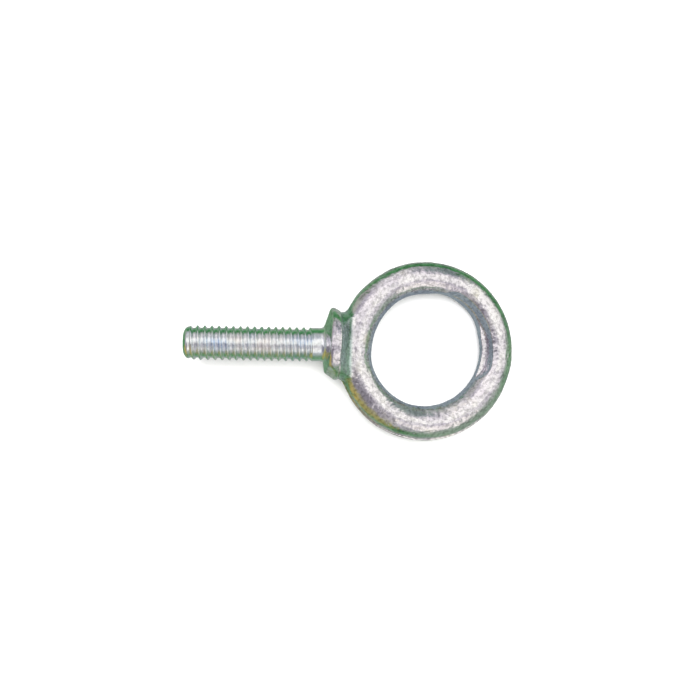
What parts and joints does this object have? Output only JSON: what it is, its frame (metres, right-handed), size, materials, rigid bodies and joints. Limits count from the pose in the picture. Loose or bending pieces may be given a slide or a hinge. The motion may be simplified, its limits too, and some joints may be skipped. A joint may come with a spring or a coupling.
{
  "type": "shoulder eye bolt",
  "caption": "Forged shoulder eye bolt: a round lifting eye on a flared neck, a flat-faced collar and a straight threaded shank.",
  "frame": {"origin": "centre of the collar's flat seating face, on the axis of the thread", "axes": "+X along the thread's axis towards the eye, so the threaded point is at -X; +Z along the axis of the eye, up as the bolt lies in the picture; +Y completes the right-handed frame"},
  "size_m": [0.0609, 0.033, 0.0132],
  "materials": {
    "zinc_forged": "bright zinc plate over a slightly rough forged surface",
    "zinc_machined": "bright zinc plate over turned and threaded steel"
  },
  "bodies": {
    "root": {"eye_ring": "zinc_forged", "neck": "zinc_forged", "collar": "zinc_forged", "shank": "zinc_machined", "thread": "zinc_machined", "point": "zinc_machined"}
  },
  "joints": []
}
